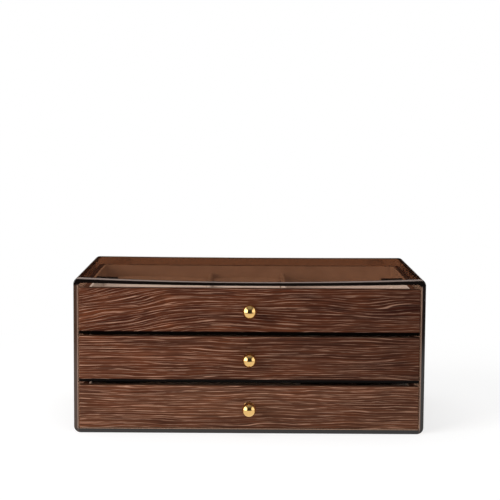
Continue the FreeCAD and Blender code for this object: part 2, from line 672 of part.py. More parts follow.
def make_ring_insert(name, left, right):
    """A board with a row of velvet rolls, front to back, that hold rings in the gaps between them."""
    half = f"(({right} - {left}) / 2 - Sizes.insert_gap)"
    first, last = f"({TRAY_FRONT} + Sizes.insert_gap)", f"({TRAY_BACK} - Sizes.insert_gap)"
    count = f"floor(({last} - {first}) / (2 * Sizes.roll_radius + Sizes.ring_slot))"
    pitch = f"(({last} - {first}) / {count})"
    seat = "(Sizes.roll_radius - Sizes.roll_sink)"
    level = f"{TOP.floor} + {LINING_FLOOR} + Sizes.soft_gap + Sizes.insert_board + {seat}"
    body = new_body(name, f"({left} + {right}) / 2", f"{first} + {pitch} / 2", level)

    plate = new_sketch(body, f"{name}_plate", "XY_Plane", f"-{seat}")
    rectangle(plate, f"-{half}", half, f"-{pitch} / 2", f"{pitch} * ({count} - 0.5)")
    feature(body, "Pad", f"{name}_board", plate, "Sizes.insert_board", backwards=True)
    round_edges(body, f"{name}_corners", "Sizes.lining_corner", lambda edge: runs_along(edge, "Z"))

    section = new_sketch(body, f"{name}_roll_section", "XZ_Plane")
    shoulder = f"({half} - Sizes.roll_end_round)"
    cheek = "(Sizes.roll_end_radius - Sizes.roll_end_round)"
    swell = "(Sizes.roll_radius - Sizes.roll_end_radius)"
    corners = (
        (f"-{half}", "0"),
        (half, "0"),
        (half, cheek),
        (shoulder, "Sizes.roll_end_radius"),
        (f"-{shoulder}", "Sizes.roll_end_radius"),
        (f"-{half}", cheek),
    )
    crown = f"({shoulder}^2 + {swell}^2) / (2 * {swell})"
    outline(section, corners, {2: "Sizes.roll_end_round", 3: crown, 4: "Sizes.roll_end_round"})
    roll = revolve(body, f"{name}_roll", section)
    doc.recompute()
    row = body.newObject("PartDesign::LinearPattern", f"{name}_row")
    row.Originals = [roll]
    row.Direction = (origin_feature(body, "Y_Axis"), [""])
    row.setExpression("Length", f"{pitch} * ({count} - 1)")
    row.setExpression("Occurrences", count)
    body.Tip = row


def make_knob(bay):
    """The turned knob, and the screw that holds it from inside the drawer front."""
    height = f"({bay.height} - Sizes.front_lift - {bay.front_gap})"
    level = f"{bay.floor} + Sizes.front_lift + {height} / 2"
    bore = "(Sizes.screw_radius + Sizes.screw_gap)"
    bore_end = "(-Sizes.screw_bite - Sizes.bore_spare)"
    neck_end = "(-Sizes.ball_reach + sqrt(Sizes.ball_radius^2 - Sizes.neck_radius^2))"
    body = new_body(f"{bay.name}_drawer_knob", along=FRONT_FACE, up=level)
    sketch = new_sketch(body, f"{bay.name}_knob_section", "YZ_Plane")
    corners = (
        (bore_end, "0"),
        (bore_end, bore),
        ("0", bore),
        ("0", "Sizes.collar_radius"),
        ("-Sizes.collar_thickness", "Sizes.collar_radius"),
        ("-Sizes.neck_start", "Sizes.neck_radius"),
        (neck_end, "Sizes.neck_radius"),
        ("-Sizes.ball_reach", "Sizes.ball_radius"),
        ("-Sizes.ball_reach - Sizes.ball_radius", "0"),
    )
    outline(sketch, corners, {6: "Sizes.ball_radius", 7: "Sizes.ball_radius"})
    revolve(body, f"{bay.name}_knob_turning", sketch)

    body = new_body(f"{bay.name}_drawer_knob_screw", along=FRONT_FACE, up=level)
    sketch = new_sketch(body, f"{bay.name}_screw_section", "YZ_Plane")
    head_seat = "(Sizes.front_thickness - Sizes.head_height - Sizes.head_gap)"
    corners = (
        ("-Sizes.screw_bite", "0"),
        (f"{head_seat} + Sizes.head_height", "0"),
        (f"{head_seat} + Sizes.head_height", "Sizes.head_radius / 2"),
        (f"{head_seat} + Sizes.head_height / 2", "Sizes.head_radius"),
        (head_seat, "Sizes.head_radius"),
        (head_seat, "Sizes.screw_radius"),
        ("-Sizes.screw_bite", "Sizes.screw_radius"),
    )
    outline(sketch, corners, {})
    revolve(body, f"{bay.name}_screw_turning", sketch)


def make_drawer(bay):
    """A whole drawer without its dividers."""
    make_front(bay)
    make_box(bay)
    make_tabs(bay)
    make_lining(bay)
    make_knob(bay)


def check_document():
    """Stops at any object that failed and at any sub-part without a valid solid."""
    for item in doc.Objects:
        if "Invalid" in item.State or "Error" in item.State:
            raise RuntimeError(f"{item.Label} is {item.State}")
    for body in bodies:
        if body.Shape.isNull() or not body.Shape.isValid() or len(body.Shape.Solids) != 1:
            raise RuntimeError(f"{body.Label} has no single valid solid")


def main():
    """Builds the document, checks it and writes one file for each sub-part."""
    fill_sheet()
    make_case()
    for bay in BAYS:
        make_lugs(bay)
        make_drawer(bay)
    divider("top_drawer_divider_left", TOP, "(-Sizes.top_divider_left)")
    divider("top_drawer_divider_right", TOP, "Sizes.top_divider_right")
    make_middle_dividers()
    divider("bottom_drawer_divider", BOTTOM, "Sizes.bottom_divider")
    wall = "Sizes.divider_thickness / 2"
    make_ring_insert("top_drawer_ring_insert_left", f"(-{TRAY_HALF})", f"(-Sizes.top_divider_left - {wall})")
    make_ring_insert(
        "top_drawer_ring_insert_middle",
        f"(-Sizes.top_divider_left + {wall})",
        f"(Sizes.top_divider_right - {wall})",
    )
    doc.recompute()
    check_document()
    os.makedirs("parts", exist_ok=True)
    for body in bodies:
        body.Shape.exportStep(f"parts/{body.Label}.step")
    width, height = number("Sizes.case_width"), number(CASE_TOP)
    print(f"{len(bodies)} sub-parts written, case {width:g} wide, {height:g} high")


main()
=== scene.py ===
"""The looks of a jewelry organizer: a smoked see-through case with three velvet-lined wooden drawers.

Lengths are metres unless a name ends in mm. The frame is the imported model's: +X to the right seen from the
front, +Y from the drawer fronts to the back, +Z up, and the origin under the middle of the case.
"""

from __future__ import annotations

import logging
import math
import random
from collections.abc import Callable
from dataclasses import dataclass, field
from enum import Enum

import bmesh
import bpy
from mathutils import Matrix, Quaternion, Vector

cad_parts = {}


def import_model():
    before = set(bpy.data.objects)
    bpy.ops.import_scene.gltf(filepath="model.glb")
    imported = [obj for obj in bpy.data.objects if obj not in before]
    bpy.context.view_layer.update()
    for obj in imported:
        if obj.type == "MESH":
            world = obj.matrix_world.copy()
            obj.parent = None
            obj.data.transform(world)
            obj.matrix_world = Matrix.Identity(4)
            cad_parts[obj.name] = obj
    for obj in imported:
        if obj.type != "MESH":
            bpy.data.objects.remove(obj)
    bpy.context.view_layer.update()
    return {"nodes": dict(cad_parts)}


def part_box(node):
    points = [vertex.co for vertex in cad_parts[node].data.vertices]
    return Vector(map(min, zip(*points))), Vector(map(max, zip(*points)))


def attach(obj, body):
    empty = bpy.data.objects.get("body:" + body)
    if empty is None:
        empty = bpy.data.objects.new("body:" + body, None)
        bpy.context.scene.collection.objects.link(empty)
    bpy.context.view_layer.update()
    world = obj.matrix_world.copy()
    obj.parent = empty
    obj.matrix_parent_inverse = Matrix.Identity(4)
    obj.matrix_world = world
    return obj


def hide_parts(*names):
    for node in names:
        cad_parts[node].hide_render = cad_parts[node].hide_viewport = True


log = logging.getLogger("jewelry_organizer")

Colour = tuple[float, float, float, float]
Socket = bpy.types.NodeSocket

MM = 0.001
NEAR = 0.01 * MM
PER_MM = 1000.0
FULL_TURN = 2 * math.pi
WHITE: Colour = (1.0, 1.0, 1.0, 1.0)


def srgb(red: int, green: int, blue: int) -> Colour:
    """Turns a display colour into the linear one that shaders take.

    Args:
        red: Red, from 0 to 255.
        green: Green, from 0 to 255.
        blue: Blue, from 0 to 255.

    Returns:
        The linear colour, opaque.
    """

    def linear(value: int) -> float:
        """Undoes the display curve for one channel."""
        share = value / 255
        return share / 12.92 if share <= 0.04045 else ((share + 0.055) / 1.055) ** 2.4

    return (linear(red), linear(green), linear(blue), 1.0)


class Grain(Enum):
    """Which way a board's grain runs."""

    ACROSS = "along X, from side to side"
    DEEP = "along Y, from front to back"


class Edges(Enum):
    """How a plastic sheet's cut edges look."""

    HIDDEN = "none shows"
    SHELF = "a shelf's near-black front edge"
    # Its sides are painted lighter on the left and darker on the right, as painted light and shade, and
    # painted highlights run along the upper edge and inside each side.
    CASE = "the case's open rims, near-black along the top and bottom and brown at the sides"
    TAB = "the narrow edges round a clear tab"


class NodeSheet:
    """A node tree, with one short call for each kind of node that the finishes share."""

    def __init__(self, owner: bpy.types.Material | bpy.types.World, output: str) -> None:
        """Empties the owner's node tree.

        Args:
            owner: The material or the world.
            output: The type name of its output node.
        """
        self.owner = owner
        owner.use_nodes = True
        self.tree = owner.node_tree
        self.tree.nodes.clear()
        self.output = self.tree.nodes.new(output)

    @classmethod
    def material(cls, name: str) -> NodeSheet:
        """Starts a new material."""
        return cls(bpy.data.materials.new(name), "ShaderNodeOutputMaterial")

    @classmethod
    def world(cls, name: str) -> NodeSheet:
        """Starts a new world."""
        return cls(bpy.data.worlds.new(name), "ShaderNodeOutputWorld")

    def add(self, kind: str, inputs: dict | None = None, **settings: object) -> bpy.types.Node:
        """Adds a node.

        Args:
            kind: The node's type name.
            inputs: A socket to link or a value to set, by input name or number.
            settings: Attributes of the node.

        Returns:
            The new node.
        """
        node = self.tree.nodes.new(kind)
        for name, value in settings.items():
            setattr(node, name, value)
        for key, value in (inputs or {}).items():
            if isinstance(value, Socket):
                self.tree.links.new(value, node.inputs[key])
            else:
                node.inputs[key].default_value = value
        return node

    def place_mm(self, shift: tuple[float, float, float] = (0, 0, 0), turn: float = 0.0) -> Socket:
        """Object coordinates in millimetres.

        Args:
            shift: What to add, in millimetres, so that two boards don't share a figure.
            turn: Angle about Z, in radians.

        Returns:
            The vector socket.
        """
        place = self.add("ShaderNodeTexCoord").outputs["Object"]
        moved = self.add(
            "ShaderNodeMapping",
            {"Vector": place, "Location": shift, "Rotation": (0, 0, turn), "Scale": (PER_MM,) * 3},
        )
        return moved.outputs["Vector"]

    def noise(self, place: Socket, size: tuple[float, float, float], detail: float = 2.0) -> Socket:
        """Smooth noise whose lumps have the given size.

        Args:
            place: Where to read it.
            size: Length of a lump along X, Y and Z, in the units of place.
            detail: How many finer layers it has.

        Returns:
            The noise, from 0 to 1.
        """
        share = tuple(1 / length for length in size)
        scaled = self.add("ShaderNodeVectorMath", {0: place, 1: share}, operation="MULTIPLY")
        inputs = {"Vector": scaled.outputs[0], "Scale": 1.0, "Detail": detail}
        return self.add("ShaderNodeTexNoise", inputs).outputs["Fac"]

    def maths(self, operation: str, first: Socket | float, second: Socket | float = 0.0) -> Socket:
        """One sum of two numbers, such as ADD or MINIMUM, and its socket."""
        return self.add("ShaderNodeMath", {0: first, 1: second}, operation=operation).outputs[0]

    def times(self, first: Socket, second: Socket | float) -> Socket:
        """A product."""
        return self.maths("MULTIPLY", first, second)

    def plus(self, first: Socket, second: Socket | float) -> Socket:
        """A sum."""
        return self.maths("ADD", first, second)

    def step(self, value: Socket, low: float, high: float, top: float = 1.0) -> Socket:
        """A smooth step.

        Args:
            value: What is measured.
            low: Where the step begins, with 0.
            high: Where it ends.
            top: Its value there.

        Returns:
            The step's socket.
        """
        node = self.add(
            "ShaderNodeMapRange",
            {"Value": value, "From Min": low, "From Max": high, "To Min": 0.0, "To Max": top},
            interpolation_type="SMOOTHSTEP",
        )
        return node.outputs["Result"]

    def blend(self, share: Socket, first: Socket | Colour, second: Socket | Colour) -> Socket:
        """A colour between two, by share."""
        node = self.add("ShaderNodeMix", {0: share, 6: first, 7: second}, data_type="RGBA")
        return node.outputs[2]

    def shade(self, colour: Socket | Colour, amount: Socket) -> Socket:
        """A colour times a brightness."""
        grey = self.add("ShaderNodeCombineColor", {0: amount, 1: amount, 2: amount})
        node = self.add(
            "ShaderNodeMix",
            {0: 1.0, 6: colour, 7: grey.outputs[0]},
            data_type="RGBA",
            blend_type="MULTIPLY",
        )
        return node.outputs[2]

    def relief(self, height: Socket, depth: float, strength: float = 1.0) -> Socket:
        """A bumped normal, from a height of 0 to 1 that stands for depth in metres."""
        node = self.add("ShaderNodeBump", {"Strength": strength, "Distance": depth, "Height": height})
        return node.outputs["Normal"]

    def line(self, value: Socket, width: float, top: float = 1.0) -> Socket:
        """Thin lines along the curves where a noise is at its middle.

        Args:
            value: The noise.
            width: How far from its middle a line ends.
            top: The line's strength.

        Returns:
            The lines' socket.
        """
        away = self.maths("ABSOLUTE", self.maths("SUBTRACT", value, 0.5))
        return self.step(away, width, 0.0, top)

    def mix(self, share: Socket, first: bpy.types.Node, second: bpy.types.Node) -> bpy.types.Node:
        """A shader between two, by share."""
        return self.add("ShaderNodeMixShader", {0: share, 1: first.outputs[0], 2: second.outputs[0]})

    def split(self, vector: Socket) -> bpy.types.NodeOutputs:
        """A vector's three parts, by the names X, Y and Z."""
        return self.add("ShaderNodeSeparateXYZ", {0: vector}).outputs

    def moved(self, place: Socket, by: Socket | tuple[float, float, float]) -> Socket:
        """A place moved by a vector."""
        return self.add("ShaderNodeVectorMath", {0: place, 1: by}, operation="ADD").outputs[0]

    def facing(self) -> Socket:
        """The direction that the face looks in."""
        return self.add("ShaderNodeNewGeometry").outputs["Normal"]

    def is_any_ray(self, *kinds: str) -> Socket:
        """One where the ray is of any of the kinds, such as Is Camera Ray."""
        path = self.add("ShaderNodeLightPath")
        found = path.outputs[kinds[0]]
        for kind in kinds[1:]:
            found = self.maths("MAXIMUM", found, path.outputs[kind])
        return found

    def finish(self, shader: Socket) -> bpy.types.Material | bpy.types.World:
        """Links the surface and gives the finished material or world."""
        self.tree.links.new(shader, self.output.inputs["Surface"])
        return self.owner


@dataclass(frozen=True)
class Wood:
    """Open-pored dark veneer: broad tones, fine fibres and pale and dark pores, all in long wavy lines.

    At a board's left end the figure may sweep down, as in veneer cut near a knot. The upper and lower edges
    are darkened with painted shade, and the board may darken towards the right as painted shade.
    """

    name: str
    shade: Colour
    body: Colour
    warm: Colour
    pore: Colour
    vein: Colour
    pore_share: float = 0.8
    thread_share: float = 0.11
    long_mm: float = 2.9
    short_mm: float = 1.7
    dark_mm: float = 1.7
    uneven: float = 1.7
    # Painted shade: how much of its brightness the board loses per 100 mm towards the right.
    painted_falloff: float = 0.0
    # Painted shade: the brightness left on faces that look up or down.
    painted_edge_brightness: float = 0.35
    grain: Grain = Grain.ACROSS
    figure: int = 0
    swing_mm: float = 3.0
    ripple_mm: float = 1.2
    sweep_mm: float = 0.0
    sweep_from_mm: float = -25.0
    sweep_to_mm: float = -125.0

    def build(self) -> bpy.types.Material:
        """Makes the material."""
        sheet = NodeSheet.material(self.name)
        turn = 0.0 if self.grain is Grain.ACROSS else math.pi / 2
        shuffle = random.Random(self.figure)
        shift = tuple(shuffle.uniform(-900, 900) for _ in range(3))
        place = sheet.place_mm(shift, turn)

        sway = sheet.maths("SUBTRACT", sheet.noise(place, (75, 40, 19), 1.0), 0.5)
        ripple = sheet.maths("SUBTRACT", sheet.noise(place, (34, 12, 8), 1.5), 0.5)
        lift = sheet.plus(sheet.times(sway, 2 * self.swing_mm), sheet.times(ripple, 2 * self.ripple_mm))
        if self.sweep_mm:
            spot = sheet.split(sheet.place_mm())["X"]
            span = self.sweep_to_mm - self.sweep_from_mm
            share = sheet.maths("DIVIDE", sheet.maths("SUBTRACT", spot, self.sweep_from_mm), span)
            share = sheet.maths("MAXIMUM", share, 0.0)
            sweep = sheet.times(sheet.maths("POWER", share, 1.5), self.sweep_mm)
            lift = sheet.plus(lift, sweep)
        along = sheet.moved(place, sheet.add("ShaderNodeCombineXYZ", {"Y": lift, "Z": lift}).outputs[0])
        aside = sheet.moved(along, (311, 57, 119))
        beyond = sheet.moved(along, (71, 433, 257))
        apart = sheet.moved(along, (523, 19, 401))

        bands = sheet.step(sheet.noise(along, (120, 12, 4.0), 2.0), 0.3, 0.7)
        blush = sheet.step(sheet.noise(place, (38, 20, 12), 2.0), 0.42, 0.68, 0.5)
        fibres = sheet.noise(along, (22, 1.2, 0.5), 1.0)
        level = sheet.plus(sheet.split(along)["Z"], sheet.split(place)["Y"])
        crowd = sheet.step(sheet.noise(aside, (13, 9, 0.8), 2.0), 0.42, 0.62)
        long_threads = self.threads(sheet, level, aside, self.long_mm)
        short_threads = self.threads(sheet, level, beyond, self.short_mm)
        strength = sheet.plus(sheet.times(crowd, 0.8 * self.pore_share), 0.2 * self.pore_share)
        pale = sheet.times(sheet.maths("MAXIMUM", long_threads, short_threads), strength)
        dark = sheet.times(self.threads(sheet, level, apart, self.dark_mm), 0.6)

        colour = sheet.blend(bands, self.shade, self.body)
        colour = sheet.blend(blush, colour, self.warm)
        fine = sheet.add(
            "ShaderNodeMapRange",
            {"Value": fibres, "From Min": 0.3, "From Max": 0.7, "To Min": 0.65, "To Max": 1.35},
        )
        colour = sheet.shade(colour, fine.outputs["Result"])
        colour = sheet.blend(dark, colour, self.vein)
        colour = sheet.blend(pale, colour, self.pore)
        # Painted shade: darker towards the right, where the light from the left falls off.
        if self.painted_falloff:
            spot = sheet.split(sheet.place_mm())["X"]
            painted_falloff_tone = sheet.maths("SUBTRACT", 1.0, sheet.times(spot, self.painted_falloff / 100.0))
            colour = sheet.shade(colour, painted_falloff_tone)
        # Painted shade on faces that look up or down, such as the edges in the dark gaps between fronts.
        upright = sheet.maths("ABSOLUTE", sheet.split(sheet.facing())["Z"])
        painted_shade = sheet.step(upright, 0.35, 0.85, 1 - self.painted_edge_brightness)
        colour = sheet.shade(colour, sheet.maths("SUBTRACT", 1.0, painted_shade))

        height = sheet.maths("SUBTRACT", sheet.times(fibres, 0.4), sheet.plus(pale, dark))
        roughness = sheet.plus(sheet.times(pale, 0.2), 0.46)
        surface = sheet.add(
            "ShaderNodeBsdfPrincipled",
            {
                "Base Color": colour,
                "Roughness": roughness,
                "Specular IOR Level": 0.1,
                "Normal": sheet.relief(height, 0.12 * MM, 0.5),
            },
        )
        return sheet.finish(surface.outputs[0])

    def threads(self, sheet: NodeSheet, level: Socket, place: Socket, spacing_mm: float) -> Socket:
        """Thin unbroken lines along the grain.

        Args:
            sheet: The material's node tree.
            level: How far each point lies across the grain, in millimetres.
            place: Where to read the noise that makes their spacing uneven.
            spacing_mm: Their mean distance.

        Returns:
            The lines' socket.
        """
        uneven = sheet.times(sheet.noise(place, (60, 9, 5.0), 1.0), self.uneven)
        count = sheet.plus(sheet.maths("DIVIDE", level, spacing_mm), uneven)
        return sheet.line(sheet.maths("FRACT", count), self.thread_share)


@dataclass(frozen=True)
class SmokedPlastic:
    """Clear brown plastic with polished faces, darker cut edges and a few fine hairlines.

    Light that falls in is tinted less than what the eye sees through a face, because real light also comes in
    through the open front.
    """

    name: str
    edges: Edges
    seen_through: Colour
    let_in: Colour = (0.88, 0.80, 0.74, 1.0)
    edge: Colour = srgb(14, 8, 6)
    corner: Colour = srgb(66, 38, 22)
    # Painted light and shade: the left rim is painted lighter and the right darker, as if lit from the left.
    left_edge_painted_lit: Colour = srgb(66, 48, 38)
    right_edge_painted_shade: Colour = srgb(26, 19, 16)
    # Painted highlights: a line along the upper edge, and one inside each side.
    painted_rim_highlight: Colour = srgb(134, 119, 112)
    painted_inner_highlight: Colour = srgb(150, 122, 108)
    polished_shine: float = 0.5
    matte_shine: float = 0.05
    least_mirrored: float = 0.25
    most_mirrored: float = 0.04
    side_mirrored: float = 0.6
    nearly_level: float = 0.99
    bends: float = 1.49
    band_mm: tuple[float, float] = (101.0, 102.8)
    # Where the painted highlights lie, in millimetres.
    painted_highlight_mm: tuple[float, float] = (106.0, 106.5)
    painted_inner_highlight_mm: tuple[float, float] = (117.8, 117.3)
    wall_mm: tuple[float, float] = (116.5, 116.9)
    foot_mm: tuple[float, float] = (3.4, 2.6)
    bow_mm: float = 2.05
    bow_half_mm: float = 116.0

    def build(self) -> bpy.types.Material:
        """Makes the material."""
        sheet = NodeSheet.material(self.name)
        place = sheet.place_mm()
        waves = sheet.noise(place, (46, 37, 29), 1.0)
        hairlines = sheet.step(sheet.noise(place, (34, 0.5, 5), 2.0), 0.66, 0.72)
        roughness = sheet.plus(sheet.times(hairlines, 0.1), 0.05)
        normal = sheet.relief(waves, 0.25 * MM, 0.35)

        fresnel = sheet.add("ShaderNodeFresnel", {"IOR": self.bends, "Normal": normal}).outputs[0]
        gloss = sheet.add("ShaderNodeBsdfGlossy", {"Color": WHITE, "Roughness": roughness, "Normal": normal})
        clear = sheet.add(
            "ShaderNodeBsdfRefraction",
            {"Color": self.seen_through, "IOR": self.bends, "Roughness": 0.0, "Normal": self.levelled(sheet)},
        )
        seen = sheet.mix(self.mirrored(sheet, fresnel), clear, gloss)
        if self.edges is not Edges.HIDDEN:
            colour = self.rim_colour(sheet, place) if self.edges is Edges.CASE else self.edge
            shine = self.matte_shine if self.edges is Edges.SHELF else self.polished_shine
            rim = sheet.add(
                "ShaderNodeBsdfPrincipled",
                {"Base Color": colour, "Roughness": roughness, "Specular IOR Level": shine, "Normal": normal},
            )
            seen = sheet.mix(self.edge_share(sheet), seen, rim)
        lighting = sheet.is_any_ray("Is Shadow Ray", "Is Diffuse Ray")
        let_in = sheet.add("ShaderNodeBsdfTransparent", {"Color": self.let_in})
        return sheet.finish(sheet.mix(lighting, seen, let_in).outputs[0])

    def levelled(self, sheet: NodeSheet) -> Socket:
        """The face's direction, made exactly upright on the top and bottom, whose two faces taper a little.

        Light that skims the top would otherwise be caught between its faces.
        """
        facing = sheet.facing()
        up = sheet.split(facing)["Z"]
        upright = sheet.add("ShaderNodeCombineXYZ", {"Z": sheet.maths("SIGN", up)}).outputs[0]
        flat = sheet.maths("GREATER_THAN", sheet.maths("ABSOLUTE", up), self.nearly_level)
        node = sheet.add("ShaderNodeMix", {0: flat, 4: facing, 5: upright}, data_type="VECTOR")
        return node.outputs[1]

    def mirrored(self, sheet: NodeSheet, fresnel: Socket) -> Socket:
        """The share of light that a face mirrors.

        It is low but at a glancing angle, and held down on the top and bottom.
        """
        glancing = sheet.maths("MAXIMUM", sheet.step(fresnel, 0.05, 0.6), self.least_mirrored)
        fresnel = sheet.times(fresnel, glancing)
        sideways = sheet.maths("ABSOLUTE", sheet.split(sheet.facing())["X"])
        side = sheet.step(sideways, 0.6, 0.9, self.side_mirrored)
        return sheet.maths("MINIMUM", fresnel, sheet.plus(side, self.most_mirrored))

    def edge_share(self, sheet: NodeSheet) -> Socket:
        """Where a sheet is seen on edge: on its narrow sides, and partly along its rounded corners."""
        facing = sheet.split(sheet.facing())
        side, front, up = (sheet.maths("ABSOLUTE", facing[axis]) for axis in "XYZ")
        if self.edges is Edges.TAB:
            return sheet.step(sheet.maths("MAXIMUM", side, up), 0.3, 0.8, 0.5)
        corner = sheet.step(sheet.maths("MINIMUM", side, up), 0.12, 0.5, 0.6)
        return sheet.maths("MAXIMUM", sheet.step(front, 0.3, 0.7), corner)

    def rim_colour(self, sheet: NodeSheet, place: Socket) -> Socket:
        """Brown at the sides and long corners, near-black along the top and bottom.

        A painted highlight follows the upper edge and another the inside of each side. The sides are painted
        lighter on the left and darker on the right, as painted light and shade.
        """
        spot = sheet.split(place)
        across = sheet.maths("DIVIDE", spot["X"], self.bow_half_mm)
        flatness = sheet.maths("SUBTRACT", 1.0, sheet.times(across, across))
        dip = sheet.times(flatness, self.bow_mm)
        level = sheet.plus(spot["Z"], dip)
        # Painted light and shade: the left side lighter, the right darker.
        low = sheet.blend(sheet.step(across, -0.9, 0.9), self.left_edge_painted_lit, self.right_edge_painted_shade)
        away = sheet.maths("ABSOLUTE", spot["X"])
        beyond_wall = sheet.step(away, *self.wall_mm)
        # Painted highlight on the inside of each side.
        inner = sheet.times(sheet.step(away, *self.painted_inner_highlight_mm, 0.8), beyond_wall)
        low = sheet.blend(inner, low, self.painted_inner_highlight)
        low = sheet.blend(sheet.step(spot["Z"], *self.foot_mm, 0.8), low, self.edge)
        colour = sheet.blend(sheet.step(level, *self.band_mm), low, self.edge)
        # Painted highlight along the upper edge.
        colour = sheet.blend(sheet.step(level, *self.painted_highlight_mm), colour, self.painted_rim_highlight)
        front = sheet.step(sheet.maths("ABSOLUTE", sheet.split(sheet.facing())["Y"]), 0.05, 0.35)
        return sheet.blend(front, self.corner, colour)


@dataclass(frozen=True)
class DarkPlastic:
    """Solid dark plastic with a faint moulded texture."""

    name: str
    body: Colour

    def build(self) -> bpy.types.Material:
        """Makes the material."""
        sheet = NodeSheet.material(self.name)
        place = sheet.place_mm()
        mottle = sheet.noise(place, (1.2, 1.2, 1.2), 3.0)
        colour = sheet.shade(self.body, sheet.plus(mottle, 0.5))
        surface = sheet.add(
            "ShaderNodeBsdfPrincipled",
            {"Base Color": colour, "Roughness": 0.4, "Normal": sheet.relief(mottle, 0.03 * MM, 0.5)},
        )
        return sheet.finish(surface.outputs[0])


@dataclass(frozen=True)
class Velvet:
    """Short-pile velvet: soft patches where the pile leans, fine fibres and a sheen at its edges."""

    name: str
    lit: Colour
    leaning: Colour
    sheen: Colour

    def build(self) -> bpy.types.Material:
        """Makes the material."""
        sheet = NodeSheet.material(self.name)
        place = sheet.place_mm()
        patches = sheet.step(sheet.noise(place, (11, 8, 8), 2.5), 0.35, 0.7)
        pile = sheet.noise(place, (0.32, 0.32, 0.32), 2.0)
        colour = sheet.blend(patches, self.lit, self.leaning)
        speckle = sheet.add(
            "ShaderNodeMapRange",
            {"Value": pile, "From Min": 0.3, "From Max": 0.7, "To Min": 0.86, "To Max": 1.1},
        )
        colour = sheet.shade(colour, speckle.outputs["Result"])
        surface = sheet.add(
            "ShaderNodeBsdfPrincipled",
            {
                "Base Color": colour,
                "Roughness": 0.95,
                "Specular IOR Level": 0.15,
                "Sheen Weight": 0.45,
                "Sheen Roughness": 0.35,
                "Sheen Tint": self.sheen,
                "Normal": sheet.relief(pile, 0.12 * MM, 0.6),
            },
        )
        return sheet.finish(surface.outputs[0])


@dataclass(frozen=True)
class PolishedMetal:
    """Polished metal with faint turning marks and a little tarnish."""

    name: str
    body: Colour
    tarnish: Colour
    roughness: float = 0.12

    def build(self) -> bpy.types.Material:
        """Makes the material."""
        sheet = NodeSheet.material(self.name)
        place = sheet.place_mm()
        clouds = sheet.step(sheet.noise(place, (2.2, 2.2, 2.2), 3.0), 0.45, 0.75, 0.35)
        rings = sheet.noise(place, (40, 0.12, 40), 1.0)
        roughness = sheet.plus(sheet.times(clouds, 0.12), self.roughness)
        surface = sheet.add(
            "ShaderNodeBsdfPrincipled",
            {
                "Base Color": sheet.blend(clouds, self.body, self.tarnish),
                "Metallic": 1.0,
                "Roughness": roughness,
                "Normal": sheet.relief(rings, 0.01 * MM, 0.15),
            },
        )
        return sheet.finish(surface.outputs[0])


@dataclass(frozen=True)
class Finishes:
    """Every material of the organizer, made once."""

    plastic: dict[Edges, bpy.types.Material]
    stops: bpy.types.Material
    fronts: dict[str, bpy.types.Material]
    boards: dict[Grain, bpy.types.Material]
    velvet: bpy.types.Material
    gold: bpy.types.Material
    screw: bpy.types.Material

    @classmethod
    def make(cls) -> Finishes:
        """Makes them all."""
        smoke = srgb(199, 176, 159)
        clarity = {edges: smoke for edges in Edges} | {Edges.TAB: srgb(246, 243, 240)}
        # Each tier: figure seed, painted shade towards the right, then shade and body colours. The bottom
        # veneer is lighter, partly its own tone and partly painted light for the floor's bounce.
        veneers = {
            "top": (11, 0.22, srgb(56, 23, 11), srgb(79, 39, 21)),
            "middle": (23, 0.23, srgb(59, 28, 15), srgb(82, 44, 27)),
            "bottom": (37, 0.06, srgb(71, 39, 25), srgb(98, 60, 41)),
        }
        fronts = {
            tier: Wood(
                name=f"{tier}_front_walnut",
                shade=shade,
                body=body,
                warm=srgb(98, 52, 30),
                pore=srgb(214, 166, 138),
                pore_share=0.66 if tier == "bottom" else 0.54,
                vein=srgb(30, 12, 6),
                # painted shade towards the right
                painted_falloff=painted_falloff,
                figure=figure,
                swing_mm=5.0 if tier == "top" else 3.0,
                sweep_mm=14.0 if tier == "top" else 0.0,
            ).build()
            for tier, (figure, painted_falloff, shade, body) in veneers.items()
        }
        boards = {
            grain: Wood(
                name=f"box_wood_{grain.name.lower()}",
                shade=srgb(62, 37, 27),
                body=srgb(88, 56, 42),
                warm=srgb(94, 58, 42),
                pore=srgb(120, 84, 64),
                vein=srgb(34, 16, 10),
                pore_share=0.45,
                grain=grain,
                # painted shade on the boards' upper and lower faces
                painted_edge_brightness=0.8,
                figure=51,
            ).build()
            for grain in Grain
        }
        return cls(
            plastic={
                edges: SmokedPlastic(f"smoked_plastic_{edges.name.lower()}", edges, clarity[edges]).build()
                for edges in Edges
            },
            stops=DarkPlastic("stop_plastic", srgb(20, 13, 10)).build(),
            fronts=fronts,
            boards=boards,
            velvet=Velvet(
                "beige_velvet",
                lit=srgb(210, 200, 194),
                leaning=srgb(200, 189, 182),
                sheen=srgb(235, 225, 215),
            ).build(),
            gold=PolishedMetal("gold_metal", srgb(230, 186, 118), srgb(206, 158, 88)).build(),
            screw=PolishedMetal("zinc_metal", srgb(196, 196, 192), srgb(150, 150, 148), 0.3).build(),
        )


def dress(piece: bpy.types.Object, material: bpy.types.Material) -> None:
    """Gives a piece one material, in every slot that it has."""
    if not piece.material_slots:
        piece.data.materials.append(material)
    for slot in piece.material_slots:
        slot.material = material


def to_object(
    shape: bmesh.types.BMesh, name: str, material: bpy.types.Material, sharp_over: float = 35.0
) -> bpy.types.Object:
    """Ends a piece's modelling.

    Args:
        shape: The finished bmesh, with its place in its vertices. It is freed.
        name: The piece's name.
        material: Its finish.
        sharp_over: Edges that turn by more degrees than this look sharp.

    Returns:
        The new object, at the origin.
    """
    bmesh.ops.recalc_face_normals(shape, faces=shape.faces)
    mesh = bpy.data.meshes.new(name)
    shape.to_mesh(mesh)
    shape.free()
    mesh.shade_smooth()
    mesh.set_sharp_from_angle(angle=math.radians(sharp_over))
    mesh.materials.append(material)
    piece = bpy.data.objects.new(name, mesh)
    bpy.context.scene.collection.objects.link(piece)
    return piece


